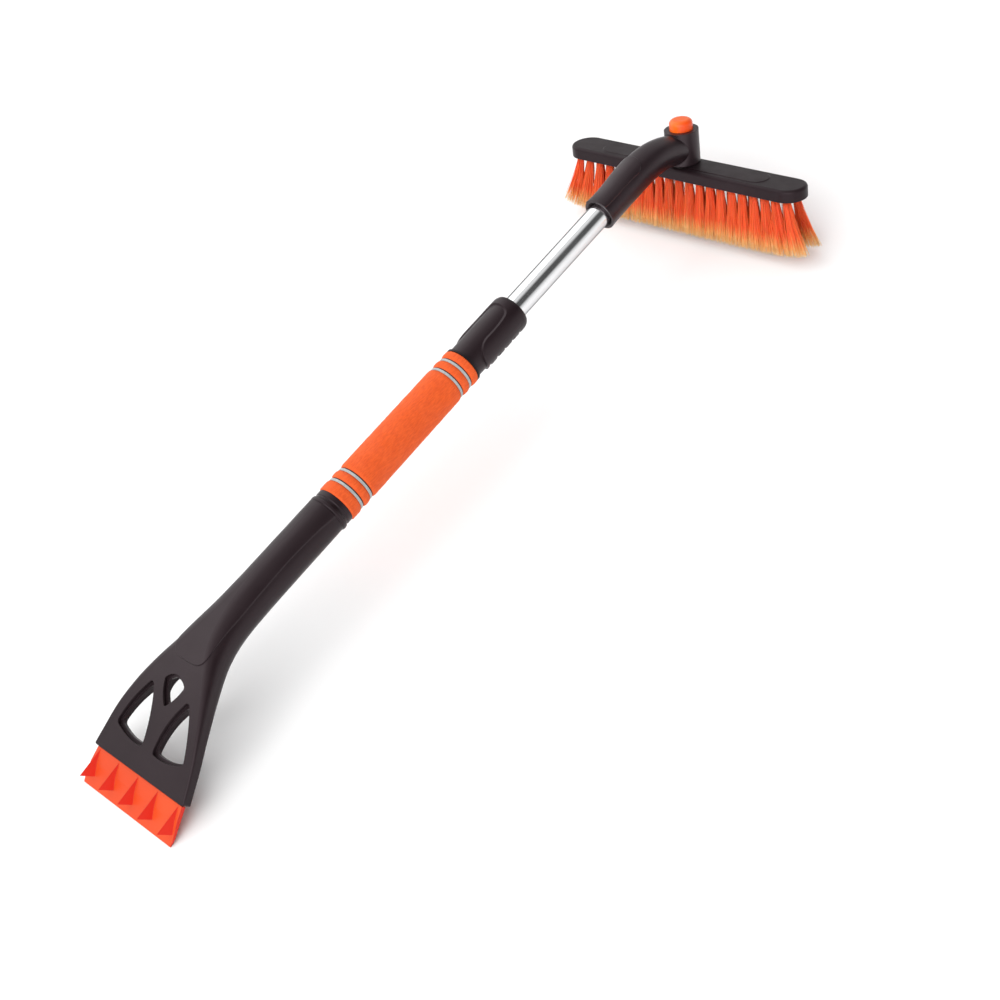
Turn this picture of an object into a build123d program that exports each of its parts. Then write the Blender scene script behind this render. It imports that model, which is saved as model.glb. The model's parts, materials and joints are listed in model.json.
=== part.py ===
"""Telescopic car snow brush with an ice scraper on the far end of its handle.

The pieces are drawn with the handle lying along +Y and its elbow at the origin. They are then
laid down as the tool rests on a floor: on the blade's edge and on the tips of the rear bristles.
"""

import math
import os

from build123d import *

# ---- driving dimensions: millimetres and degrees ----
ELBOW_ANGLE = 26.9
ELBOW_BEND_RADIUS = 205.0
HANDLE_TOP = 157.0
HEAD_LENGTH = 78.6

GRIP_START = 168.0
GRIP_LENGTH = 152.0
GRIP_RADIUS = 16.8
GRIP_TOP_RADIUS = 16.4
GROOVE_DEPTH = 1.7
GROOVE_WIDTH = 3.2
GROOVE_PLACES = (11.9, 22.5, 132.6, 143.1)
BAND_WIDTH = 2.0

OUTER_TUBE_RADIUS = 11.5
OUTER_TUBE_BORE = 10.3
INNER_TUBE_RADIUS = 10.0
TUBE_WALL = 1.0
RUNNING_GAP = 0.05

END_RING_WIDTH = 1.8
COLLAR_LENGTH = 62.5
COLLAR_RADIUS = 14.8
COLLAR_PAD_HEIGHT = 1.5
COLLAR_BORE = 13.3
SLEEVE_RADIUS = 13.0
BODY_GAP = 0.35
PAD_HEIGHT = 0.8

HUB_Y = 617.0
HUB_LEAN = 19.8
AXIS_OVER_BLOCK = 33.0
HUB_RADIUS = 14.65
HUB_HEIGHT = 29.7
HUB_GAP = 1.3
HUB_FLOOR = 14.0
HUB_COUNTERBORE = 10.35
SOCKET_MOUTH = 116.0
TUBE_IN_SOCKET = 44.0
LEAD_IN_WIDTH = 2.4
LEAD_IN_DEPTH = 3.0
SPINDLE_RADIUS = 6.5

BUTTON_RADIUS = 10.0
BUTTON_RISE = 9.0
BUTTON_SKIRT = 8.4
BUTTON_TRAVEL = 4.5

BLOCK_LENGTH = 250.0
BLOCK_WIDTH = 30.6
BLOCK_HEIGHT = 10.5
PLATEAU_LENGTH = 178.0
PLATEAU_WIDTH = 21.0
PLATEAU_HEIGHT = 0.5
BRISTLE_LENGTH = 49.0
ROW_PITCH = 8.0
ROW_ROOT_WIDTH = 3.6
ROW_TIP_WIDTH = 7.0
ROW_SPLAY = 4.0
TUFT_ROW_LENGTH = 233.0
TUFT_FLARE = 15.0

BLADE_WIDTH = 112.4
BLADE_REACH = 108.6
BLADE_TANG_START = 62.0
BLADE_TANG_WIDTH = 96.0
BLADE_THICKNESS = 3.2
BLADE_EDGE = 1.0
BLADE_GAP = 0.9
TANG_THICKNESS = 2.2
TOOTH_COUNT = 5
TOOTH_PITCH = 24.8
TOOTH_HEIGHT = 8.5

SCREW_HEAD_RADIUS = 3.2
SCREW_SHANK_RADIUS = 1.5

# Handle stations: distance from the elbow (minus is toward the grip), half width, half height,
# and how far the section's corners are rounded as a share of its half height.
HANDLE_STATIONS = (
    (-HANDLE_TOP, 15.7, 15.7, 0.97),
    (-115.0, 15.8, 15.7, 0.97),
    (-75.0, 16.3, 15.4, 0.97),
    (-48.0, 18.4, 14.2, 0.96),
    (-22.0, 24.0, 12.2, 0.90),
    (5.0, 35.0, 8.4, 0.72),
    (27.0, 43.5, 6.0, 0.56),
    (50.0, 50.6, 4.6, 0.44),
    (HEAD_LENGTH, 56.4, 3.7, 0.38),
)
HANDLE_WALL = 3.2
CAVITY_START = -108.0
CAVITY_END = -8.0
SECTION_STEP = 12.0

# Corners and arc middles of the left window and the teardrop, in the head's plane.
WINDOW = ((-22.0, -13.5), (-34.0, -33.5), (-41.5, -55.0), (-25.0, -60.2), (-6.5, -60.5), (-10.5, -36.0))
TEARDROP = ((-11.5, -8.5), (0.0, -2.5), (11.5, -8.5), (8.0, -17.0), (0.0, -27.0), (-8.0, -17.0))

# Neck stations in the hub's frame: distance back from the hub, height over the block,
# slope of the centre line, and radius.
NECK_STATIONS = (
    (109.1, -6.3, 19.8, 14.3),
    (92.2, -0.2, 19.8, 13.9),
    (74.5, 7.0, 20.5, 14.5),
    (56.0, 13.6, 16.0, 14.7),
    (38.0, 17.0, 4.5, 14.2),
    (20.0, 16.2, -7.0, 13.4),
    (2.0, 14.0, -8.0, 12.6),
)

COLLAR_START = GRIP_START + GRIP_LENGTH + END_RING_WIDTH
COLLAR_END = COLLAR_START + COLLAR_LENGTH
SOCKET_Y = HUB_Y - SOCKET_MOUTH

HEAD = Location((0, 0, 0), (ELBOW_ANGLE, 0, 0))
HUB = Location((0, HUB_Y, 0), (-HUB_LEAN, 0, 0)) * Location((0, 0, -AXIS_OVER_BLOCK))


# ---- helpers ----
def handle_plane(distance):
    """Section plane at a distance along the handle's centre line, round the elbow's bend."""
    half_bend = ELBOW_BEND_RADIUS * math.tan(math.radians(ELBOW_ANGLE / 2))
    if distance <= -half_bend:
        angle = 0.0
        y, z = -distance, 0.0
    elif distance >= half_bend:
        angle = math.radians(ELBOW_ANGLE)
        y, z = -distance * math.cos(angle), -distance * math.sin(angle)
    else:
        angle = math.radians(ELBOW_ANGLE) * (distance + half_bend) / (2 * half_bend)
        y = half_bend - ELBOW_BEND_RADIUS * math.sin(angle)
        z = ELBOW_BEND_RADIUS * (math.cos(angle) - 1)
    return Plane(origin=(0, y, z), x_dir=(1, 0, 0), z_dir=(0, -math.cos(angle), -math.sin(angle)))


def handle_section(distance):
    """Half width, half height and rounding of the handle, eased between its stations."""
    last = len(HANDLE_STATIONS) - 1
    index = 0
    while index < last - 1 and distance > HANDLE_STATIONS[index + 1][0]:
        index += 1
    here, there = HANDLE_STATIONS[index], HANDLE_STATIONS[index + 1]
    before, after = HANDLE_STATIONS[max(index - 1, 0)], HANDLE_STATIONS[min(index + 2, last)]
    span = there[0] - here[0]
    t = (distance - here[0]) / span
    values = []
    for k in (1, 2, 3):
        slope_here = (there[k] - before[k]) / (there[0] - before[0]) * span
        slope_there = (after[k] - here[k]) / (after[0] - here[0]) * span
        rise = there[k] - here[k]
        curve = (slope_here + slope_there - 2 * rise) * t + 3 * rise - 2 * slope_here - slope_there
        values.append(here[k] + slope_here * t + curve * t * t)
    return values


def handle_loft(start, end, grow=0.0):
    """Smooth body between two distances along the handle, grown outward all round."""
    count = round((end - start) / SECTION_STEP)
    sections = []
    for step in range(count + 1):
        distance = start + (end - start) * step / count
        half_width, half_height, rounding = handle_section(distance)
        width = 2 * (half_width + grow)
        height = 2 * (half_height + grow)
        corner = rounding * height / 2
        sections.append(handle_plane(distance) * RectangleRounded(width, height, corner))
    return loft(sections)


def neck_loft(grow=0.0):
    """Curved neck in the hub's frame, grown outward all round."""
    sections = []
    for back, height, slope, radius in NECK_STATIONS:
        tilt = math.radians(slope)
        plane = Plane(
            origin=(0, -back, height),
            x_dir=(1, 0, 0),
            z_dir=(0, math.cos(tilt), math.sin(tilt)),
        )
        sections.append(plane * Circle(radius + grow))
    return loft(sections)


def turned(profile):
    """Body of revolution about the handle's axis, from (radius, y) corners."""
    return revolve(make_face(Polyline(*profile, close=True)), axis=Axis.Y)


def tube(outer, inner, start, end):
    """Straight tube along the handle's axis."""
    return turned([(inner, start), (outer, start), (outer, end), (inner, end)])


def along_y(radius, start, end):
    """Solid round bar along the handle's axis."""
    return extrude(Plane(origin=(0, start, 0), z_dir=(0, 1, 0)) * Circle(radius), end - start)


def hub_disc(radius, low, high):
    """Solid disc about the hub's axis, in the hub's frame."""
    return Location((0, 0, low)) * Cylinder(
        radius, high - low, align=(Align.CENTER, Align.CENTER, Align.MIN)
    )


def hub_ring(outer, inner, low, high):
    return hub_disc(outer, low, high) - hub_disc(inner, low - 1, high + 1)


def tongue(wide, narrow, nose_half, start, end, reach):
    """Plan outline of the raised thumb tongue: open at its start, rounded at its end."""
    shoulder = end + math.copysign(reach, start - end)
    middle = (start + shoulder) / 2
    right = Spline((wide, start), (narrow, middle), (nose_half, shoulder))
    leaving = right % 1
    arriving = leaving.rotate(Axis.Z, 180)
    nose = Spline(right @ 1, (0, end), (-nose_half, shoulder), tangents=(leaving, arriving))
    left = Spline((-nose_half, shoulder), (-narrow, middle), (-wide, start))
    return make_face(Curve() + [right, nose, left, Line(left @ 1, right @ 0)])


# ---- handle body ----
def curved_triangle(points, share, corner):
    """Three arcs through six points in turn, drawn in toward their middle by a share."""
    middle_x = sum(x for x, _ in points) / len(points)
    middle_y = sum(y for _, y in points) / len(points)
    drawn_in = []
    for x, y in points:
        drawn_in.append((middle_x + (x - middle_x) * share, middle_y + (y - middle_y) * share))
    a, b, c, d, e, f = drawn_in
    face = make_face([ThreePointArc(a, b, c), ThreePointArc(c, d, e), ThreePointArc(e, f, a)])
    return fillet(face.vertices(), corner)


def windows():
    """Cutters for the three windows: a wide mouth on each face and a ledge inside."""
    ledge_half = 1.5
    reach = 25.0
    cutters = []
    through = (0.88, 0.80, -reach, reach)
    top = (1.0, 1.0, ledge_half, reach)
    bottom = (1.0, 1.0, -reach, -ledge_half)
    for side_share, middle_share, low, high in (through, top, bottom):
        left = extrude(Plane.XY.offset(low) * curved_triangle(WINDOW, side_share, 3.0), high - low)
        middle = extrude(Plane.XY.offset(low) * curved_triangle(TEARDROP, middle_share, 2.0), high - low)
        cutters += [HEAD * left, HEAD * mirror(left, about=Plane.YZ), HEAD * middle]
    return cutters


def scraper_handle():
    """Hollow moulding from the grip to the blade, with a raised thumb tongue along its top."""
    bare = handle_loft(-HANDLE_TOP, HEAD_LENGTH)
    skin = handle_loft(-HANDLE_TOP, HEAD_LENGTH, PAD_HEIGHT)
    raised = extrude(Plane.XY.offset(-4) * tongue(15.4, 13.6, 18.6, HANDLE_TOP + 5, 7.0, 12.0), 30)
    around = Location((0, 40, -30)) * Box(160, 260, 120)
    body = skin - (around - raised - bare)
    plan = RectangleRounded(2 * HANDLE_STATIONS[-1][1], 400, 3.0)
    body &= HEAD * Location((0, 200 - HEAD_LENGTH, 0)) * extrude(plan, 130, both=True)
    for cutter in windows():
        body -= cutter
    body -= along_y(OUTER_TUBE_RADIUS, 107, HANDLE_TOP + 1)
    body -= handle_loft(CAVITY_START, CAVITY_END, -HANDLE_WALL)
    body -= HEAD * Location((0, -14, -1)) * Cylinder(16, 30, align=(Align.CENTER, Align.CENTER, Align.MAX))
    slot = Box(BLADE_TANG_WIDTH, 40, TANG_THICKNESS + 0.2, align=(Align.CENTER, Align.MAX, Align.CENTER))
    body -= HEAD * Location((0, -BLADE_TANG_START, 0)) * slot
    body -= screw_hole(135)
    return body


def screw_hole(y):
    """Clearance for a self-tapping screw coming up from below."""
    return Location((0, y, -30)) * Cylinder(
        SCREW_SHANK_RADIUS + RUNNING_GAP, 30, align=(Align.CENTER, Align.CENTER, Align.MIN)
    )


def tube_screw(y, seat, tip):
    """Pan-head screw under the handle: its head on the seat, its tip inside the tube."""
    head = Location((0, y, -seat - 1.8)) * Cylinder(
        SCREW_HEAD_RADIUS, 1.8, align=(Align.CENTER, Align.CENTER, Align.MIN)
    )
    head = fillet(head.edges().sort_by(Axis.Z)[0], 1.0)
    shank = Location((0, y, -seat)) * Cylinder(
        SCREW_SHANK_RADIUS, seat - tip, align=(Align.CENTER, Align.CENTER, Align.MIN)
    )
    cross = Location((0, y, -seat - 1.8)) * (Box(3.4, 0.8, 1.4) + Box(0.8, 3.4, 1.4))
    return head + shank - cross


def scraper_blade():
    """Blade that thins toward its edge, with a tang in the head's slot and a row of ice teeth."""
    half = BLADE_THICKNESS / 2
    root = HEAD_LENGTH + BLADE_GAP
    side = Polyline(
        (-root, half),
        (-root - 12, half),
        (-BLADE_REACH, BLADE_EDGE - half),
        (-BLADE_REACH, -half),
        (-root, -half),
        close=True,
    )
    blade = extrude(Plane.YZ * make_face(side), BLADE_WIDTH / 2, both=True)
    corner = BLADE_WIDTH / 2
    plan = Polyline(
        (-corner + 3.0, -root + 1),
        (-corner, -BLADE_REACH + 6),
        (-corner + 0.8, -BLADE_REACH),
        (corner - 0.8, -BLADE_REACH),
        (corner, -BLADE_REACH + 6),
        (corner - 3.0, -root + 1),
        close=True,
    )
    blade &= extrude(make_face(plan), 10, both=True)
    tang_length = root - BLADE_TANG_START
    tang_align = (Align.CENTER, Align.MAX, Align.CENTER)
    tang = Box(BLADE_TANG_WIDTH - 0.4, tang_length + 1, TANG_THICKNESS, align=tang_align)
    blade += Location((0, -BLADE_TANG_START, 0)) * tang
    for index in range(TOOTH_COUNT):
        x = (index - (TOOTH_COUNT - 1) / 2) * TOOTH_PITCH
        blade += Location((x, -root, 0)) * ice_tooth()
    return HEAD * blade


def ice_tooth():
    """Wedge that rises from nothing at the head to a sharp tip near the edge."""
    base = -0.4
    run = 20.5
    half_width = 5.0
    lean = 3.0
    a = (0, 0, BLADE_THICKNESS / 2 - 0.3)
    b = (-half_width, -run, base)
    c = (half_width, -run, base)
    tip = (0, -run - lean, BLADE_THICKNESS / 2 + TOOTH_HEIGHT)
    faces = []
    for corners in ((a, b, c), (a, b, tip), (a, c, tip), (b, c, tip)):
        faces.append(make_face(Polyline(*corners, close=True)))
    return Solid(Shell(faces))


def lower_collar():
    """Moulded ring between the handle and the grip, with a groove and a bead."""
    top = GRIP_START
    profile = [
        (OUTER_TUBE_RADIUS, HANDLE_TOP),
        (15.9, HANDLE_TOP),
        (16.7, HANDLE_TOP + 1.2),
        (16.8, HANDLE_TOP + 2.6),
        (16.5, HANDLE_TOP + 4.0),
        (15.6, HANDLE_TOP + 4.8),
        (15.4, HANDLE_TOP + 6.2),
        (15.9, HANDLE_TOP + 6.8),
        (15.9, top),
        (OUTER_TUBE_RADIUS, top),
    ]
    return turned(profile)


def outer_tube():
    tube_end = COLLAR_START + 25
    body = tube(OUTER_TUBE_RADIUS, OUTER_TUBE_BORE, 107, tube_end)
    return body - screw_hole(135)


def foam_grip():
    """Foam sleeve with two pairs of turned grooves."""
    slope = (GRIP_TOP_RADIUS - GRIP_RADIUS) / GRIP_LENGTH
    edge = 1.4
    profile = [(OUTER_TUBE_RADIUS, GRIP_START), (GRIP_RADIUS - edge, GRIP_START)]
    profile.append((GRIP_RADIUS, GRIP_START + edge))
    for place in GROOVE_PLACES:
        radius = GRIP_RADIUS + slope * place
        low = GRIP_START + place - GROOVE_WIDTH / 2
        high = low + GROOVE_WIDTH
        profile += [(radius, low - 0.5), (radius - 0.5, low), (radius - GROOVE_DEPTH, low)]
        profile += [(radius - GROOVE_DEPTH, high), (radius - 0.5, high), (radius, high + 0.5)]
    end = GRIP_START + GRIP_LENGTH
    profile += [(GRIP_TOP_RADIUS, end - edge), (GRIP_TOP_RADIUS - edge, end), (OUTER_TUBE_RADIUS, end)]
    return turned(profile)


def grip_band(place):
    """Thin reflective ring that sits in one groove of the grip."""
    radius = GRIP_RADIUS + (GRIP_TOP_RADIUS - GRIP_RADIUS) / GRIP_LENGTH * place
    low = GRIP_START + place - GROOVE_WIDTH / 2
    return tube(radius - 0.7, radius - GROOVE_DEPTH, low, low + BAND_WIDTH)


def grip_end_ring():
    start = GRIP_START + GRIP_LENGTH
    return tube(GRIP_TOP_RADIUS - 0.2, OUTER_TUBE_RADIUS, start, start + END_RING_WIDTH)


def lock_sleeve():
    """Threaded sleeve fixed on the outer tube's mouth; the collar turns on it."""
    step = COLLAR_START + 25
    end = COLLAR_END - 20
    body = tube(SLEEVE_RADIUS, OUTER_TUBE_RADIUS, COLLAR_START, step)
    body += tube(SLEEVE_RADIUS, OUTER_TUBE_BORE, step, end)
    for turn in range(6):
        y = COLLAR_START + 8 + 5 * turn
        body -= turned([(12.5, y), (13.5, y - 1), (13.5, y + 1)])
    return body


def collet():
    """Split ring that the collar squeezes on the inner tube."""
    start = COLLAR_END - 20
    end = COLLAR_END - 8
    bore = INNER_TUBE_RADIUS + RUNNING_GAP
    mouth = SLEEVE_RADIUS - 1.6
    slope_start = start + 5
    profile = [(bore, start), (SLEEVE_RADIUS, start), (SLEEVE_RADIUS, slope_start), (mouth, end), (bore, end)]
    body = turned(profile)
    for turn in range(3):
        body -= Location((0, 0, 0), (0, 60 * turn + 30, 0)) * Location((0, end, 0)) * Box(60, 16, 1.0)
    return body


# ---- locking collar ----
def collar_shell(grow):
    """Outer form of the collar with its rounded nose, grown outward all round."""
    start = COLLAR_START + BODY_GAP
    radius = COLLAR_RADIUS + grow
    straight_end = COLLAR_END - 5.0
    side = Polyline((0, start), (radius, start), (radius + 0.2, start + 22), (radius, straight_end))
    bend = Spline(
        (radius, straight_end),
        (radius - 0.7, COLLAR_END - 1.7),
        (radius - 2.4, COLLAR_END),
        tangents=((0, 1), (-1, 0.1)),
    )
    close = Polyline((radius - 2.4, COLLAR_END), (0, COLLAR_END), (0, start))
    return revolve(make_face(Curve() + [side, bend, close]), axis=Axis.Y)


def lock_collar():
    """Twist collar: raised finger pads with ribs below, closing over a lower crown panel."""
    body = collar_shell(0)
    low = COLLAR_START + 9
    shoulder = 11.0
    border = Spline(
        (low + 3, -15),
        (low + 0.6, -4),
        (low + 1.6, 5.0),
        (low + 8, shoulder - 1.0),
        (low + 18, shoulder),
        (COLLAR_END - 18, shoulder + 0.5),
        (COLLAR_END - 11, 13.4),
        (COLLAR_END - 8.5, 18),
    )
    rest = Polyline(
        (COLLAR_END - 8.5, 18),
        (COLLAR_END + 3, 18),
        (COLLAR_END + 3, -30),
        (low + 12, -30),
        (low + 3, -15),
    )
    pad_side = extrude(Plane.YZ * make_face(Curve() + [border, rest]), 30, both=True)
    pad = collar_shell(COLLAR_PAD_HEIGHT) & pad_side
    for turn in range(5):
        y = low + 6 + 9.4 * turn
        groove = turned([(15.0, y), (17.2, y - 3.6), (17.2, y + 3.6)])
        pad -= groove & Location((0, y, -17)) * Box(60, 12, 20)
    body += pad
    floor = COLLAR_END - 7.5
    body -= along_y(COLLAR_BORE, COLLAR_START - 1, floor)
    body -= along_y(INNER_TUBE_RADIUS + BODY_GAP, floor - 1, COLLAR_END + 1)
    return body


# ---- sliding body ----
def inner_tube():
    start = COLLAR_START - 65
    end = SOCKET_Y + TUBE_IN_SOCKET
    body = tube(INNER_TUBE_RADIUS, INNER_TUBE_RADIUS - TUBE_WALL, start, end)
    return body - screw_hole(SOCKET_Y + 16)


def guide_bush():
    """Nylon plug that guides the inner tube's lower end inside the outer tube."""
    end = COLLAR_START - 65
    rim = OUTER_TUBE_BORE - RUNNING_GAP
    bore = 6.0
    plug = INNER_TUBE_RADIUS - TUBE_WALL
    return turned(
        [(bore, end - 10), (rim, end - 10), (rim, end), (plug, end), (plug, end + 14), (bore, end + 14)]
    )


def neck_arm():
    """Curved neck: socket for the tube at one end, upright hub at the other."""
    neck = neck_loft()
    raised = tongue(10.8, 10.6, 12.0, -SOCKET_MOUTH - 2, -63.0, 10.0)
    neck += neck_loft(PAD_HEIGHT) & extrude(raised, 40)
    neck += hub_disc(HUB_RADIUS, HUB_GAP, HUB_HEIGHT)
    neck -= hub_disc(SPINDLE_RADIUS + 0.08, 0, HUB_FLOOR + 1)
    neck -= hub_disc(HUB_COUNTERBORE, HUB_FLOOR, HUB_HEIGHT + 10)
    neck -= hub_disc(11.2, 0, HUB_GAP + 3.4)
    body = HUB * neck
    body -= along_y(INNER_TUBE_RADIUS, SOCKET_Y - 2, SOCKET_Y + TUBE_IN_SOCKET)
    lead_in = Cone(INNER_TUBE_RADIUS + LEAD_IN_WIDTH, INNER_TUBE_RADIUS, LEAD_IN_DEPTH)
    body -= Location((0, SOCKET_Y + LEAD_IN_DEPTH / 2, 0), (-90, 0, 0)) * lead_in
    body -= screw_hole(SOCKET_Y + 16)
    return body


# ---- brush body ----
def brush_block():
    """Stadium block with softened edges and a long raised plateau under the hub."""
    base = extrude(SlotOverall(BLOCK_LENGTH, BLOCK_WIDTH), -BLOCK_HEIGHT)
    base = fillet(base.edges().group_by(Axis.Z)[-1], 2.6)
    base = fillet(base.edges().group_by(Axis.Z)[0], 0.8)
    plateau = extrude(SlotOverall(PLATEAU_LENGTH, PLATEAU_WIDTH), PLATEAU_HEIGHT)
    base += chamfer(plateau.edges().group_by(Axis.Z)[-1], PLATEAU_HEIGHT * 0.9, PLATEAU_HEIGHT * 1.6)
    base -= hub_disc(SPINDLE_RADIUS, -7, 3)
    return HUB * base


def index_ring():
    """Notched ring on the block that the released hub turns past."""
    low, high = PLATEAU_HEIGHT, 4.2
    ring = hub_ring(10.8, SPINDLE_RADIUS, low, high)
    for turn in range(12):
        notch = Location((0, 0, 0), (0, 0, 30 * turn)) * Location((10.0, 0, high)) * Box(2.4, 1.8, 2.4)
        ring -= notch
    return HUB * ring


def pivot_spindle():
    spindle = hub_disc(SPINDLE_RADIUS, -7, HUB_FLOOR + 0.4)
    spindle -= hub_disc(2.5, 0, 20)
    return HUB * spindle


def pivot_washer():
    low = HUB_FLOOR + 0.4
    return HUB * hub_ring(8.0, 2.6, low, low + 1.2)


def pivot_screw():
    low = HUB_FLOOR + 1.6
    head = hub_disc(4.2, low, low + 2.4)
    head -= Location((0, 0, low + 2.4)) * (Box(4.6, 1.0, 2.4) + Box(1.0, 4.6, 2.4))
    return HUB * (head + hub_disc(2.5, 0.0, low))


def bristle_row(row):
    """Envelope of one row of tufts: narrow in the block, splayed at the tips."""
    root_y = row * ROW_PITCH
    tip_y = root_y + row * ROW_SPLAY
    root = Plane.XY.offset(-BLOCK_HEIGHT) * Location((0, root_y)) * Rectangle(TUFT_ROW_LENGTH, ROW_ROOT_WIDTH)
    tip = Plane.XY.offset(-BLOCK_HEIGHT - BRISTLE_LENGTH) * Location((0, tip_y))
    tip = tip * Rectangle(TUFT_ROW_LENGTH + 2 * TUFT_FLARE, ROW_TIP_WIDTH)
    return HUB * loft([root, tip])


# ---- button body ----
def release_button():
    top = HUB_HEIGHT + BUTTON_RISE
    button = hub_disc(BUTTON_RADIUS, 20.0, top)
    button = fillet(button.edges().group_by(Axis.Z)[-1], 4.2)
    button -= hub_disc(BUTTON_SKIRT - 0.8, 19.0, top - 4.2)
    button -= hub_disc(BUTTON_SKIRT, 19.0, top - 6.0)
    return HUB * button


def button_spring():
    low = HUB_FLOOR + 2.2
    high = HUB_HEIGHT + BUTTON_RISE - 4.7
    radius = 6.4
    path = Helix(pitch=(high - low) / 6, height=high - low, radius=radius)
    section = Plane(origin=path @ 0, z_dir=path % 0) * Circle(0.45)
    return HUB * Location((0, 0, low)) * sweep(section, path=path)


# ---- assembly ----
def build_parts():
    parts = {
        "scraper_handle": scraper_handle(),
        "scraper_blade": scraper_blade(),
        "lower_collar": lower_collar(),
        "outer_tube": outer_tube(),
        "handle_screw": tube_screw(135, 15.8, 9.0),
        "foam_grip": foam_grip(),
        "grip_end_ring": grip_end_ring(),
        "lock_sleeve": lock_sleeve(),
        "collet": collet(),
        "lock_collar": lock_collar(),
        "inner_tube": inner_tube(),
        "guide_bush": guide_bush(),
        "neck_arm": neck_arm(),
        "neck_screw": tube_screw(SOCKET_Y + 16, 14.2, 8.0),
        "brush_block": brush_block(),
        "index_ring": index_ring(),
        "pivot_spindle": pivot_spindle(),
        "pivot_washer": pivot_washer(),
        "pivot_screw": pivot_screw(),
        "bristle_row_front": bristle_row(-1),
        "bristle_row_middle": bristle_row(0),
        "bristle_row_rear": bristle_row(1),
        "release_button": release_button(),
        "button_spring": button_spring(),
    }
    for number, place in enumerate(GROOVE_PLACES, start=1):
        parts[f"grip_band_{number}"] = grip_band(place)
    return parts


def resting_place(parts):
    """Tilt the tool on to its blade edge and rear bristles, and centre it over the origin."""
    blade_box = parts["scraper_blade"].bounding_box()
    row_box = parts["bristle_row_rear"].bounding_box()
    drop = blade_box.min.Z - row_box.min.Z
    run = row_box.max.Y - blade_box.min.Y
    tilt = math.degrees(math.atan2(drop, run))
    for _ in range(6):
        lean = Location((0, 0, 0), (tilt, 0, 0))
        low_blade = (lean * parts["scraper_blade"]).bounding_box().min.Z
        low_row = (lean * parts["bristle_row_rear"]).bounding_box().min.Z
        tilt += math.degrees((low_blade - low_row) / run)
    lean = Location((0, 0, 0), (tilt, 0, 0))
    box = Compound(children=[lean * part for part in parts.values()]).bounding_box()
    centre_y = (box.min.Y + box.max.Y) / 2
    print("tilt", round(tilt, 4), "shift y", round(-centre_y, 4), "shift z", round(-box.min.Z, 4))
    return Location((0, -centre_y, -box.min.Z)) * lean


def main():
    os.makedirs("parts", exist_ok=True)
    parts = build_parts()
    place = resting_place(parts)
    for name, part in parts.items():
        export_step(place * part, f"parts/{name}.step")


main()
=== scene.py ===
"""Looks for the telescopic snow brush: foam, filaments, moulded plastics, metal, and a plain studio."""

import json
import math
import random

import bpy
from mathutils import Euler, Matrix, Vector, noise


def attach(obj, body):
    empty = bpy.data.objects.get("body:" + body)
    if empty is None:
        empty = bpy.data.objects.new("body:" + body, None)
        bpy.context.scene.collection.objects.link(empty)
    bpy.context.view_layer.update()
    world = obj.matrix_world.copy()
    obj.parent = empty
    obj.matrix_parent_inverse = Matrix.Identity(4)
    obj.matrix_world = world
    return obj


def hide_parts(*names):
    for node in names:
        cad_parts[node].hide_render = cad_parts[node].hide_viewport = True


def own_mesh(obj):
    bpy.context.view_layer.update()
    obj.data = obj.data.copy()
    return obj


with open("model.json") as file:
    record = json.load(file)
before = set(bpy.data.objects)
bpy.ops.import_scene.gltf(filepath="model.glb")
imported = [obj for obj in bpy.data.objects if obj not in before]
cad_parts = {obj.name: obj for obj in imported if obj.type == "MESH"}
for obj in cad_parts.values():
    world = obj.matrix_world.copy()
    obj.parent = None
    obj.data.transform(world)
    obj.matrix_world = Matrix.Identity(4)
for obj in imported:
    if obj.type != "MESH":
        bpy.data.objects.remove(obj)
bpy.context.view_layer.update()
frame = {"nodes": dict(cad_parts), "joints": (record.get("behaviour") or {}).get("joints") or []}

joints = {joint["name"]: joint for joint in frame["joints"]}
nodes = frame["nodes"]

# Sizes below are in millimetres, and the scene is in metres.
MM = 0.001


# ---- frames of the handle and of the hub, taken from the joints ----
LOCK_AT = 355.0


def axes_frame(origin, x, y, z):
    """Matrix whose columns are three axes and an origin."""
    return Matrix.Translation(origin) @ Matrix((x, y, z)).transposed().to_4x4()


side = Vector((1, 0, 0))
handle_y = Vector(joints["lock_twist"]["axis"]).normalized()
handle_z = side.cross(handle_y)
handle_origin = Vector(joints["lock_twist"]["pos_m"]) - handle_y * LOCK_AT * MM
HANDLE = axes_frame(handle_origin, side, handle_y, handle_z)

hub_z = Vector(joints["brush_swivel"]["axis"]).normalized()
hub_y = hub_z.cross(side)
HUB = axes_frame(Vector(joints["brush_swivel"]["pos_m"]), side, hub_y, hub_z)


# ---- mesh helpers ----
def new_piece(name, verts, faces, smooth=True):
    """Mesh object from vertices and faces, linked into the scene."""
    mesh = bpy.data.meshes.new(name)
    mesh.from_pydata([tuple(v) for v in verts], [], faces)
    mesh.validate()
    if smooth:
        mesh.shade_smooth()
    piece = bpy.data.objects.new(name, mesh)
    bpy.context.scene.collection.objects.link(piece)
    return piece


def paint(piece, material):
    """Gives a piece one material."""
    piece.data.materials.clear()
    piece.data.materials.append(material)


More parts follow.
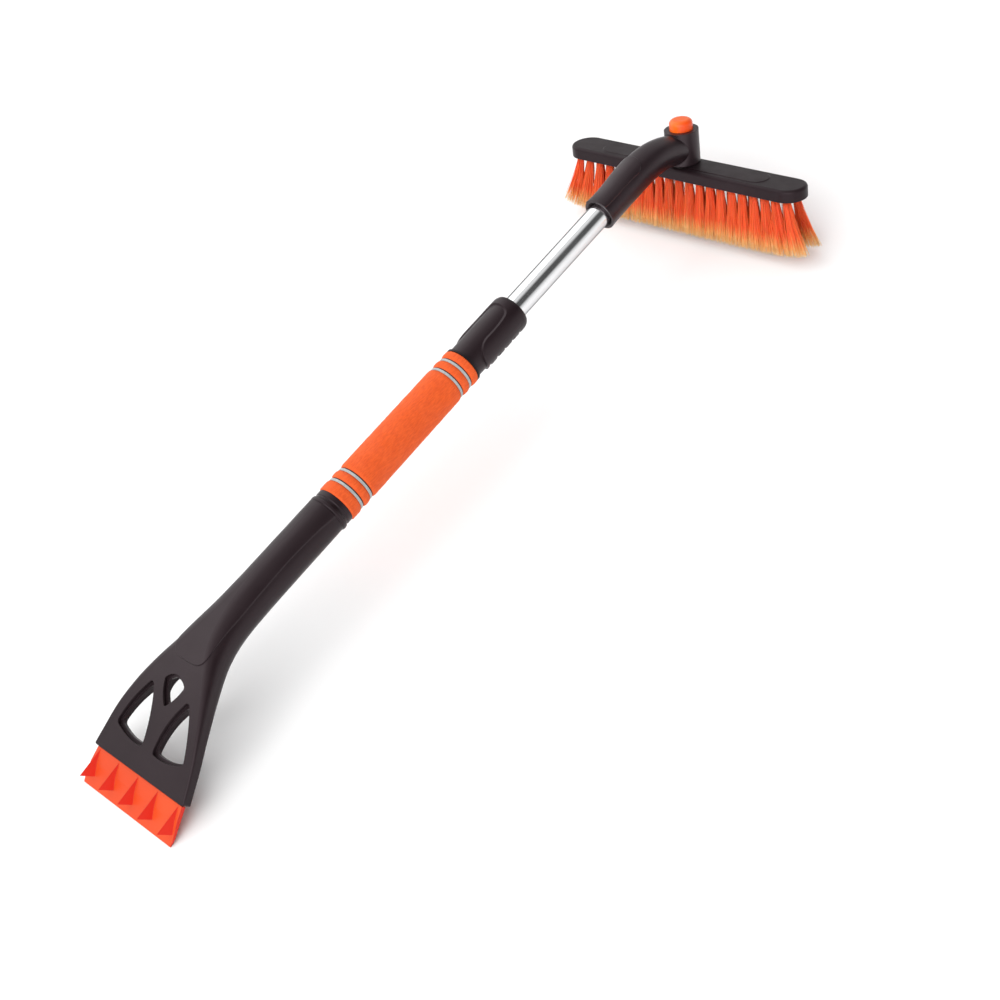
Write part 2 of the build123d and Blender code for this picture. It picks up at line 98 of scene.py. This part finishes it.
# ---- materials ----
class Nodes:
    """Short hand for building a principled material."""

    def __init__(self, name):
        self.material = bpy.data.materials.new(name)
        self.material.use_nodes = True
        self.tree = self.material.node_tree
        self.shader = self.tree.nodes["Principled BSDF"]
        coords = self.add("ShaderNodeTexCoord")
        self.coords = coords.outputs["Object"]
        self.facing = coords.outputs["Normal"]

    def add(self, kind, **settings):
        node = self.tree.nodes.new(kind)
        for key, value in settings.items():
            setattr(node, key, value)
        return node

    def link(self, source, target):
        self.tree.links.new(source, target)

    def stretched(self, scale):
        mapping = self.add("ShaderNodeMapping")
        mapping.inputs["Scale"].default_value = scale
        self.link(self.coords, mapping.inputs["Vector"])
        return mapping.outputs["Vector"]

    def noise(self, scale, detail=3.0, roughness=0.5, vector=None):
        node = self.add("ShaderNodeTexNoise")
        node.inputs["Scale"].default_value = scale
        node.inputs["Detail"].default_value = detail
        node.inputs["Roughness"].default_value = roughness
        self.link(vector or self.coords, node.inputs["Vector"])
        return node.outputs["Fac"]

    def cells(self, scale, vector=None):
        node = self.add("ShaderNodeTexVoronoi")
        node.inputs["Scale"].default_value = scale
        self.link(vector or self.coords, node.inputs["Vector"])
        return node.outputs["Distance"]

    def ramp(self, factor, *stops):
        node = self.add("ShaderNodeValToRGB")
        elements = node.color_ramp.elements
        while len(elements) < len(stops):
            elements.new(0.5)
        for element, (place, colour) in zip(elements, stops):
            element.position = place
            element.color = (*colour, 1.0)
        self.link(factor, node.inputs["Fac"])
        return node.outputs["Color"]

    def sideways_shade(self, low, high):
        """How far the surface turns away toward the left or the right, from 0 to 1, used as the mask for
        painted shade.
        """
        parts = self.add("ShaderNodeSeparateXYZ")
        self.link(self.facing, parts.inputs["Vector"])
        size = self.add("ShaderNodeMath", operation="ABSOLUTE")
        self.link(parts.outputs["X"], size.inputs[0])
        return self.spread(size.outputs[0], 0.0, 1.0, low, high)

    def blend_colours(self, factor, below, above):
        """Mixes a linked colour toward a plain one. Colour sockets share names, so they go by number."""
        node = self.add("ShaderNodeMix", data_type="RGBA")
        factor_in, below_in, above_in = node.inputs[0], node.inputs[6], node.inputs[7]
        self.link(factor, factor_in)
        self.link(below, below_in)
        above_in.default_value = (*above, 1.0)
        return node.outputs[2]

    def spread(self, factor, low, high, from_low=0.3, from_high=0.7):
        node = self.add("ShaderNodeMapRange")
        node.inputs["From Min"].default_value = from_low
        node.inputs["From Max"].default_value = from_high
        node.inputs["To Min"].default_value = low
        node.inputs["To Max"].default_value = high
        self.link(factor, node.inputs["Value"])
        return node.outputs["Result"]

    def bump(self, height, strength, distance, below=None):
        node = self.add("ShaderNodeBump")
        node.inputs["Strength"].default_value = strength
        node.inputs["Distance"].default_value = distance
        self.link(height, node.inputs["Height"])
        if below is not None:
            self.link(below, node.inputs["Normal"])
        return node.outputs["Normal"]

    def soft_edges(self, radius):
        node = self.add("ShaderNodeBevel", samples=4)
        node.inputs["Radius"].default_value = radius
        return node.outputs["Normal"]

    def finish(self, colour, roughness, normal=None, **sockets):
        self.link(colour, self.shader.inputs["Base Color"])
        self.link(roughness, self.shader.inputs["Roughness"])
        if normal is not None:
            self.link(normal, self.shader.inputs["Normal"])
        for key, value in sockets.items():
            self.shader.inputs[key.replace("_", " ")].default_value = value
        return self.material


def black_plastic(name, dark, light, rough_low, rough_high, shine=0.30):
    """Satin moulded plastic: fine grain, faint flow marks and slightly uneven gloss."""
    n = Nodes(name)
    flow = n.noise(14.0, 4.0, 0.6, n.stretched((1.0, 0.35, 1.0)))
    colour = n.ramp(flow, (0.25, dark), (0.8, light))
    gloss = n.spread(n.noise(55.0, 3.0), rough_low, rough_high)
    grain = n.bump(n.noise(2600.0, 2.0), 0.10, 0.0002, n.soft_edges(0.0006))
    waves = n.bump(n.noise(38.0, 1.0), 0.06, 0.001, grain)
    material = n.finish(colour, gloss, waves, Specular_IOR_Level=shine)
    n.shader.inputs["Specular Tint"].default_value = (1.0, 0.84, 0.90, 1.0)
    return material


def orange_plastic(name, dark, light, flank_shade, rough_low, rough_high, shine):
    """Bright moulded plastic with a soft gloss, with painted shade on its steep flanks: surfaces turned
    left or right are mixed toward a deeper colour.
    """
    n = Nodes(name)
    skin = n.ramp(n.noise(22.0, 3.0), (0.25, dark), (0.8, light))
    # painted shade: steep flanks turned left or right get the deeper flank colour
    colour = n.blend_colours(n.sideways_shade(0.25, 0.75), skin, flank_shade)
    gloss = n.spread(n.noise(70.0, 3.0), rough_low, rough_high)
    normal = n.bump(n.noise(1800.0, 2.0), 0.06, 0.0002, n.soft_edges(0.0006))
    return n.finish(colour, gloss, normal, Specular_IOR_Level=shine)


def foam():
    """Closed-cell foam: pitted skin with a lengthways grain, matte with a soft sheen, and painted shade
    that turns the groove floors near-black.
    """
    n = Nodes("foam_orange")
    along = n.stretched((1.0, 0.22, 1.0))
    mottled = n.noise(90.0, 4.0, 0.6)
    streaks = n.noise(1000.0, 2.0, 0.5, along)
    skin = n.ramp(streaks, (0.32, (0.68, 0.072, 0.005)), (0.68, (0.81, 0.106, 0.009)))
    groove = n.add("ShaderNodeAttribute", attribute_name="groove").outputs["Fac"]
    # painted shade: the groove floors are mixed to near-black for the shade inside the grooves
    colour = n.blend_colours(groove, skin, (0.030, 0.020, 0.020))
    gloss = n.spread(mottled, 0.72, 0.88)
    pits = n.bump(n.cells(1500.0), 0.25, 0.0003)
    grain = n.bump(streaks, 0.35, 0.0004, pits)
    material = n.finish(colour, gloss, grain, Sheen_Weight=0.15, Sheen_Roughness=0.5)
    n.shader.inputs["Sheen Tint"].default_value = (1.0, 0.42, 0.12, 1.0)
    return material


def metal(name, tint, rough_low, rough_high, grain, rim):
    """Drawn metal: very fine lines along the tube, slightly cloudy gloss and greyer rims."""
    n = Nodes(name)
    lines = n.noise(3500.0, 2.0, 0.5, n.stretched((1.0, 0.012, 1.0)))
    colour = n.ramp(n.noise(30.0), (0.2, tint), (0.8, tuple(min(1.0, c * 1.04) for c in tint)))
    gloss = n.spread(n.noise(24.0, 4.0), rough_low, rough_high)
    material = n.finish(colour, gloss, n.bump(lines, grain, 0.0001), Metallic=1.0)
    n.shader.inputs["Specular Tint"].default_value = (rim, rim, rim, 1.0)
    return material


def grey_band():
    """Pale grey woven ring set into the foam."""
    n = Nodes("band_grey")
    colour = n.ramp(n.noise(600.0, 2.0), (0.3, (0.33, 0.36, 0.37)), (0.7, (0.46, 0.49, 0.49)))
    gloss = n.spread(n.noise(300.0), 0.45, 0.6)
    return n.finish(colour, gloss, n.bump(n.cells(2400.0), 0.2, 0.0002))


def nylon():
    """Natural nylon of the hidden guides."""
    n = Nodes("nylon")
    colour = n.ramp(n.noise(40.0), (0.3, (0.58, 0.57, 0.52)), (0.7, (0.68, 0.67, 0.62)))
    return n.finish(colour, n.spread(n.noise(60.0), 0.4, 0.55), n.bump(n.noise(900.0), 0.08, 0.0002))


def filament():
    """Filament colour by how far down the tuft it is, ending in pale flagged tips."""
    n = Nodes("filament")
    along = n.add("ShaderNodeAttribute", attribute_name="along").outputs["Fac"]
    colour = n.ramp(
        along,
        (0.0, (0.97, 0.062, 0.006)),
        (0.66, (0.99, 0.086, 0.010)),
        (0.82, (1.0, 0.290, 0.065)),
        (0.94, (1.0, 0.500, 0.190)),
    )
    gloss = n.spread(n.noise(400.0), 0.42, 0.58)
    material = n.finish(colour, gloss, None, Subsurface_Weight=0.5, Subsurface_Scale=0.0012)
    n.shader.inputs["Subsurface Radius"].default_value = (1.0, 0.6, 0.4)
    return material


# ---- foam grip ----
GRIP_START = 168.0
GRIP_LENGTH = 152.0
GRIP_RADIUS = 16.8
GRIP_TOP_RADIUS = 16.4
GROOVES = (11.9, 22.5, 132.6, 143.1)
GROOVE_DEPTH = 1.7
GROOVE_HALF = 1.6
LIP_WIDTH = 2.8
LIP_DROP = 1.15
END_ROUNDING = 1.8
BORE_RADIUS = 11.5
GRIP_STEP = 0.75
GRIP_TURNS = 160
SKIN_SWELL = 0.12
SKIN_RIPPLE = 0.05


def grip_radius(place):
    """Outer radius of the foam at a place along it, with rolled groove lips and rounded ends."""
    radius = GRIP_RADIUS + (GRIP_TOP_RADIUS - GRIP_RADIUS) * place / GRIP_LENGTH
    for groove in GROOVES:
        away = abs(place - groove) - GROOVE_HALF
        if away < 0:
            return radius - GROOVE_DEPTH
        if away < LIP_WIDTH:
            lip = 1 - away / LIP_WIDTH
            radius -= LIP_DROP * lip * lip
    end = min(place, GRIP_LENGTH - place)
    if end < END_ROUNDING:
        rise = 1 - end / END_ROUNDING
        radius -= END_ROUNDING * (1 - math.sqrt(max(0.0, 1 - rise * rise)))
    return radius


def grip_places():
    """Places along the grip: even steps, with close ones round each groove's walls."""
    places = {i * GRIP_STEP for i in range(int(GRIP_LENGTH / GRIP_STEP) + 1)}
    places.add(GRIP_LENGTH)
    for groove in GROOVES:
        for wall in (groove - GROOVE_HALF, groove + GROOVE_HALF):
            for step in (0.01, 0.3, 0.6, 1.0):
                places |= {wall - step, wall + step}
    for end in (0.0, GRIP_LENGTH):
        places |= {abs(end - step) for step in (0.1, 0.3, 0.6, 1.0, 1.4)}
    return sorted(places)


def foam_grip():
    """Foam sleeve turned about the handle's axis, with a slightly uneven skin."""
    turns = GRIP_TURNS
    rows = [(BORE_RADIUS, 0.0)]
    rows += [(grip_radius(place), place) for place in grip_places()]
    rows.append((BORE_RADIUS, GRIP_LENGTH))
    verts, groove_shade = [], []
    for radius, place in rows:
        in_groove = any(abs(place - groove) < GROOVE_HALF for groove in GROOVES)
        # groove_shade marks the groove floors, where the foam gets its painted shade
        groove_shade += [1.0 if in_groove else 0.0] * turns
        for k in range(turns):
            angle = math.tau * k / turns
            x, z = math.cos(angle), math.sin(angle)
            uneven = 0.0
            if radius > BORE_RADIUS:
                uneven = SKIN_SWELL * noise.noise(Vector((x * 6, place * 0.35, z * 6)))
                uneven += SKIN_RIPPLE * noise.noise(Vector((x * 34, place * 0.9, z * 34)))
            spot = Vector((x * (radius + uneven), GRIP_START + place, z * (radius + uneven))) * MM
            verts.append(HANDLE @ spot)
    faces = []
    for row in range(len(rows)):
        after = (row + 1) % len(rows)
        for k in range(turns):
            nxt = (k + 1) % turns
            faces.append((row * turns + k, row * turns + nxt, after * turns + nxt, after * turns + k))
    piece = new_piece("foam_sleeve", verts, faces)
    attribute = piece.data.attributes.new("groove", "FLOAT", "POINT")
    attribute.data.foreach_set("value", groove_shade)
    paint(piece, foam())
    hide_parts("foam_grip")
    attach(piece, "handle")


# ---- bristles ----
BLOCK_HEIGHT = 10.5
BRISTLE_LENGTH = 49.0
ROW_PITCH = 8.0
ROW_SPLAY = 4.0
ROW_OFFSET = 4.4
ROW_HALF_LENGTH = 116.0
TUFT_PITCH = 11.3
TUFT_ROOT = 3.2
TUFT_REACH = 7.4
ROW_FLARE = 13.5
END_TRIM = 4.0
TUFT_FILAMENTS = 170
TUFT_DEPTH = 1.6
TIP_DEPTH = 1.5
ROOT_IN_BLOCK = 1.0
LARGEST_SHARE = 1.06
FILAMENT_STEPS = 6
FILAMENT_RADIUS = 0.22
FILAMENT_TIP_RADIUS = 0.09


def filament_path(rng, root_x, row):
    """Points of one filament in the hub's frame, from inside the block to its tip."""
    angle = rng.uniform(0, math.tau)
    reach = math.sqrt(rng.random())
    off_x = math.cos(angle) * reach
    off_y = math.sin(angle) * reach
    tip_x = root_x + off_x * TUFT_REACH + rng.gauss(0, 0.5)
    share = max(-LARGEST_SHARE, min(LARGEST_SHARE, tip_x / ROW_HALF_LENGTH))
    tip_x += ROW_FLARE * share**3
    start_x = root_x + off_x * TUFT_ROOT
    start_y = row * ROW_PITCH + off_y * TUFT_DEPTH
    drift_y = row * ROW_SPLAY + off_y * TIP_DEPTH + rng.gauss(0, 0.3)
    length = BRISTLE_LENGTH * rng.uniform(0.965, 1.0) - END_TRIM * share**10
    bow = rng.gauss(0, 0.5)
    points = []
    for step in range(FILAMENT_STEPS + 1):
        t = step / FILAMENT_STEPS
        fan = t**1.35
        x = start_x + (tip_x - start_x) * fan + bow * math.sin(math.pi * t)
        y = start_y + drift_y * fan
        z = -BLOCK_HEIGHT + ROOT_IN_BLOCK - (length + ROOT_IN_BLOCK) * t
        points.append(Vector((x, y, z)))
    return points


def bristle_row(name, node, row, seed):
    """One row of tufts, each filament a thin three-sided rod with a tapered tip."""
    rng = random.Random(seed)
    middle = {-1: 0.0, 0: ROW_OFFSET, 1: 2 * ROW_OFFSET - TUFT_PITCH}[row]
    verts, faces, along = [], [], []
    for tuft in range(-10, 11):
        root_x = tuft * TUFT_PITCH + middle + rng.gauss(0, 0.2)
        if abs(root_x) > ROW_HALF_LENGTH - 1:
            continue
        for _ in range(TUFT_FILAMENTS):
            path = filament_path(rng, root_x, row)
            twist = rng.uniform(0, math.tau)
            fade = rng.gauss(0, 0.05)
            first = len(verts)
            last = len(path) - 1
            for step, point in enumerate(path):
                t = step / last
                radius = FILAMENT_RADIUS if step < last else FILAMENT_TIP_RADIUS
                for corner in range(3):
                    angle = twist + math.tau * corner / 3
                    offset = Vector((math.cos(angle), math.sin(angle), 0)) * radius
                    verts.append(HUB @ ((point + offset) * MM))
                    along.append(min(1.0, max(0.0, t + fade)))
                if step:
                    low, high = first + 3 * (step - 1), first + 3 * step
                    for corner in range(3):
                        nxt = (corner + 1) % 3
                        faces.append((low + corner, low + nxt, high + nxt, high + corner))
            faces.append((first + 3 * last, first + 3 * last + 1, first + 3 * last + 2))
            faces.append((first + 2, first + 1, first))
    piece = new_piece(name, verts, faces)
    attribute = piece.data.attributes.new("along", "FLOAT", "POINT")
    attribute.data.foreach_set("value", along)
    paint(piece, filament_material)
    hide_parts(node)
    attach(piece, "brush")


filament_material = filament()
bristle_row("filaments_front", "bristle_row_front", -1, 11)
bristle_row("filaments_middle", "bristle_row_middle", 0, 12)
bristle_row("filaments_rear", "bristle_row_rear", 1, 13)
foam_grip()


# ---- button spring ----
def spring_coil():
    """Spring under the button: a copy of the solid spring in steel, carried along with the button as its
    own mesh.
    """
    source = nodes["button_spring"]
    verts = [source.matrix_world @ v.co for v in source.data.vertices]
    faces = [tuple(polygon.vertices) for polygon in source.data.polygons]
    piece = new_piece("spring_coil", verts, faces)
    paint(piece, steel)
    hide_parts("button_spring")
    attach(piece, "button")
    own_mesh(piece)


# ---- finishes of the carried-over solids ----
shell_colours = (0.010, 0.0052, 0.0066), (0.016, 0.0090, 0.0110)
shell = black_plastic("moulded_black", *shell_colours, 0.33, 0.43)
bar_black = black_plastic("bar_black", *shell_colours, 0.36, 0.46, 0.20)
neck_black = black_plastic("neck_black", *shell_colours, 0.33, 0.43, 0.44)
ring_black = black_plastic("ring_black", (0.002, 0.002, 0.0024), (0.004, 0.004, 0.005), 0.42, 0.55)
# The third colour of each orange plastic is painted shade for its steep flanks.
blade = orange_plastic(
    "blade_orange", (0.62, 0.050, 0.006), (0.68, 0.068, 0.009), (0.70, 0.016, 0.001), 0.32, 0.42, 0.35
)
button = orange_plastic(
    "button_orange", (0.88, 0.112, 0.003), (0.93, 0.140, 0.006), (0.80, 0.070, 0.003), 0.30, 0.40, 0.4
)
tube = metal("drawn_aluminium", (0.80, 0.805, 0.815), 0.11, 0.18, 0.05, 0.15)
steel = metal("plated_steel", (0.62, 0.62, 0.64), 0.22, 0.34, 0.15, 0.9)
band = grey_band()
hidden = nylon()

FINISHES = {
    "scraper_handle": shell,
    "lower_collar": shell,
    "lock_collar": shell,
    "neck_arm": neck_black,
    "brush_block": bar_black,
    "grip_end_ring": ring_black,
    "scraper_blade": blade,
    "release_button": button,
    "outer_tube": tube,
    "inner_tube": tube,
    "handle_screw": steel,
    "neck_screw": steel,
    "pivot_screw": steel,
    "pivot_washer": steel,
    "grip_band_1": band,
    "grip_band_2": band,
    "grip_band_3": band,
    "grip_band_4": band,
    "lock_sleeve": hidden,
    "collet": hidden,
    "guide_bush": hidden,
    "index_ring": hidden,
    "pivot_spindle": hidden,
}
for node, material in FINISHES.items():
    paint(nodes[node], material)
spring_coil()


# ---- studio ----
camera_data = bpy.data.cameras.new("camera")
camera_data.sensor_width = 36.0
camera_data.lens = 57.6
camera_data.clip_start = 0.01
camera = bpy.data.objects.new("camera", camera_data)
aim = Euler([math.radians(angle) for angle in (57.756, 7.434, 44.804)], "XYZ").to_matrix().to_4x4()
camera.matrix_world = HUB @ Matrix.Translation((0.8584, -0.9960, 0.5021)) @ aim
bpy.context.scene.collection.objects.link(camera)
bpy.context.scene.camera = camera


FLOOR_HALF = 30


def floor():
    """Wide, plain pale floor."""
    reach = FLOOR_HALF
    verts = [(-reach, -reach, 0), (reach, -reach, 0), (reach, reach, 0), (-reach, reach, 0)]
    piece = new_piece("floor", verts, [(0, 1, 2, 3)], smooth=False)
    n = Nodes("floor_pale")
    colour = n.ramp(n.noise(3.0, 2.0), (0.3, (0.92, 0.92, 0.92)), (0.7, (0.94, 0.94, 0.94)))
    paint(piece, n.finish(colour, n.spread(n.noise(8.0), 0.75, 0.85)))


def soft_light(name, place, target, size, power, spread=180.0):
    """Square area light turned toward a point, not seen by the camera itself."""
    data = bpy.data.lights.new(name, "AREA")
    data.shape = "SQUARE"
    data.size = size
    data.energy = power
    data.spread = math.radians(spread)
    light = bpy.data.objects.new(name, data)
    light.location = place
    light.visible_camera = False
    light.rotation_euler = (Vector(target) - Vector(place)).to_track_quat("-Z", "Y").to_euler()
    bpy.context.scene.collection.objects.link(light)


floor()
middle = (0.0, 0.0, 0.06)
soft_light("key", (-1.8, 0.1, 1.8), middle, 3.4, 38.0)
soft_light("front", (0.9, -2.2, 1.5), middle, 3.0, 56.0)
soft_light("brush fill", (0.45, 0.0, 0.24), (0.03, 0.34, 0.03), 0.30, 0.085, 60.0)


def studio_world():
    """White studio walls, with one dark gap that runs along the tool behind the brush."""
    world = bpy.data.worlds.new("studio")
    world.use_nodes = True
    tree = world.node_tree
    new, join = tree.nodes.new, tree.links.new
    parts = new("ShaderNodeSeparateXYZ")
    join(new("ShaderNodeTexCoord").outputs["Generated"], parts.inputs["Vector"])
    slope = new("ShaderNodeMath")
    slope.operation = "ARCTAN2"
    join(parts.outputs["X"], slope.inputs[0])
    join(parts.outputs["Z"], slope.inputs[1])
    scaled = new("ShaderNodeMapRange")
    scaled.inputs["From Min"].default_value = math.radians(-90)
    scaled.inputs["From Max"].default_value = math.radians(90)
    join(slope.outputs[0], scaled.inputs["Value"])
    gap = new("ShaderNodeValToRGB")
    stops = ((0.0, 0.55), (0.08, 0.5), (0.13, 0.0), (0.58, 0.0), (0.68, 1.0), (0.88, 1.0), (0.97, 0.0))
    while len(gap.color_ramp.elements) < len(stops):
        gap.color_ramp.elements.new(0.5)
    for element, (place, level) in zip(gap.color_ramp.elements, stops):
        element.position = place
        element.color = (level, level, level, 1.0)
    join(scaled.outputs["Result"], gap.inputs["Fac"])
    behind = new("ShaderNodeMapRange")
    behind.inputs["From Min"].default_value = -0.05
    behind.inputs["From Max"].default_value = 0.30
    join(parts.outputs["Y"], behind.inputs["Value"])
    amount = new("ShaderNodeMath")
    amount.operation = "MULTIPLY"
    join(gap.outputs["Color"], amount.inputs[0])
    join(behind.outputs["Result"], amount.inputs[1])
    walls = new("ShaderNodeMapRange")
    walls.inputs["To Min"].default_value = 1.0
    walls.inputs["To Max"].default_value = 0.11
    join(amount.outputs[0], walls.inputs["Value"])
    background = tree.nodes["Background"]
    join(walls.outputs["Result"], background.inputs["Color"])
    background.inputs["Strength"].default_value = 0.85
    bpy.context.scene.world = world


studio_world()
bpy.context.scene.view_settings.view_transform = "Standard"
